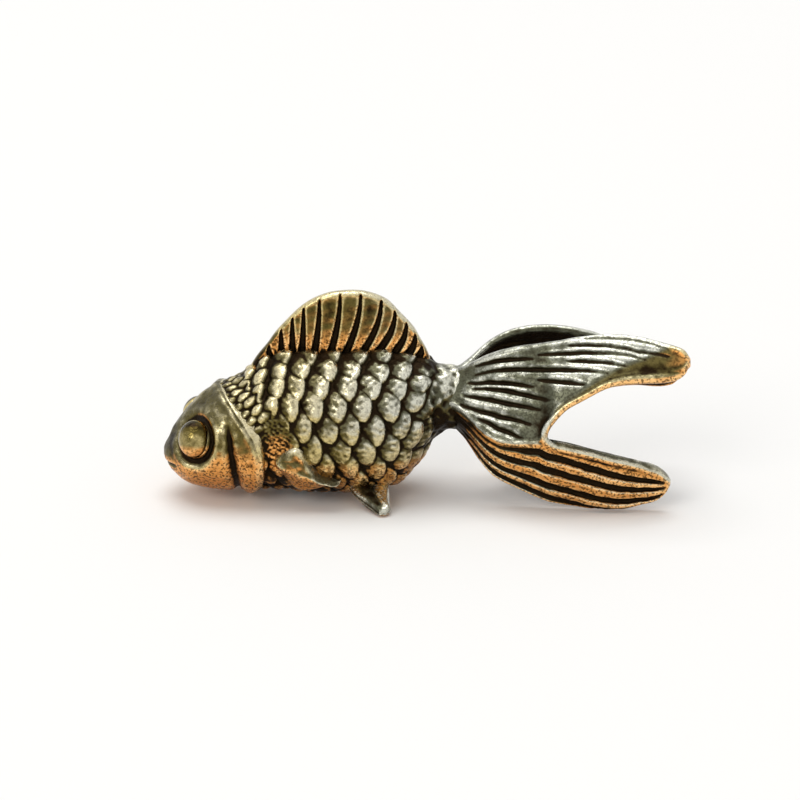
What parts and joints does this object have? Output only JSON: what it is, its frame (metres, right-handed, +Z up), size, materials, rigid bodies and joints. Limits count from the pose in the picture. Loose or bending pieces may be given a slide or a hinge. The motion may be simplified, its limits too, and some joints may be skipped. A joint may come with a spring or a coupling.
{
  "type": "fish figurine",
  "caption": "Small solid brass goldfish ornament with bead eyes, scaled body, ribbed dorsal fin and a large ribbed fantail, resting on chin, pelvic fins and tail lobes.",
  "frame": {"origin": "on the table plane, under the middle of the fish's length and width", "axes": "+X from nose to tail, +Y to the fish's right side, +Z up"},
  "size_m": [0.046, 0.0124, 0.0189],
  "materials": {
    "antique_brass": "cast brass with dark patina in the recesses and polished high places",
    "polished_brass": "polished cast brass"
  },
  "bodies": {
    "root": {"head": "antique_brass", "trunk": "antique_brass", "left_eye": "polished_brass", "right_eye": "polished_brass", "dorsal_fin": "antique_brass", "left_pectoral_fin": "antique_brass", "right_pectoral_fin": "antique_brass", "left_pelvic_fin": "antique_brass", "right_pelvic_fin": "antique_brass", "left_tail_fin": "antique_brass", "right_tail_fin": "antique_brass"}
  },
  "joints": []
}
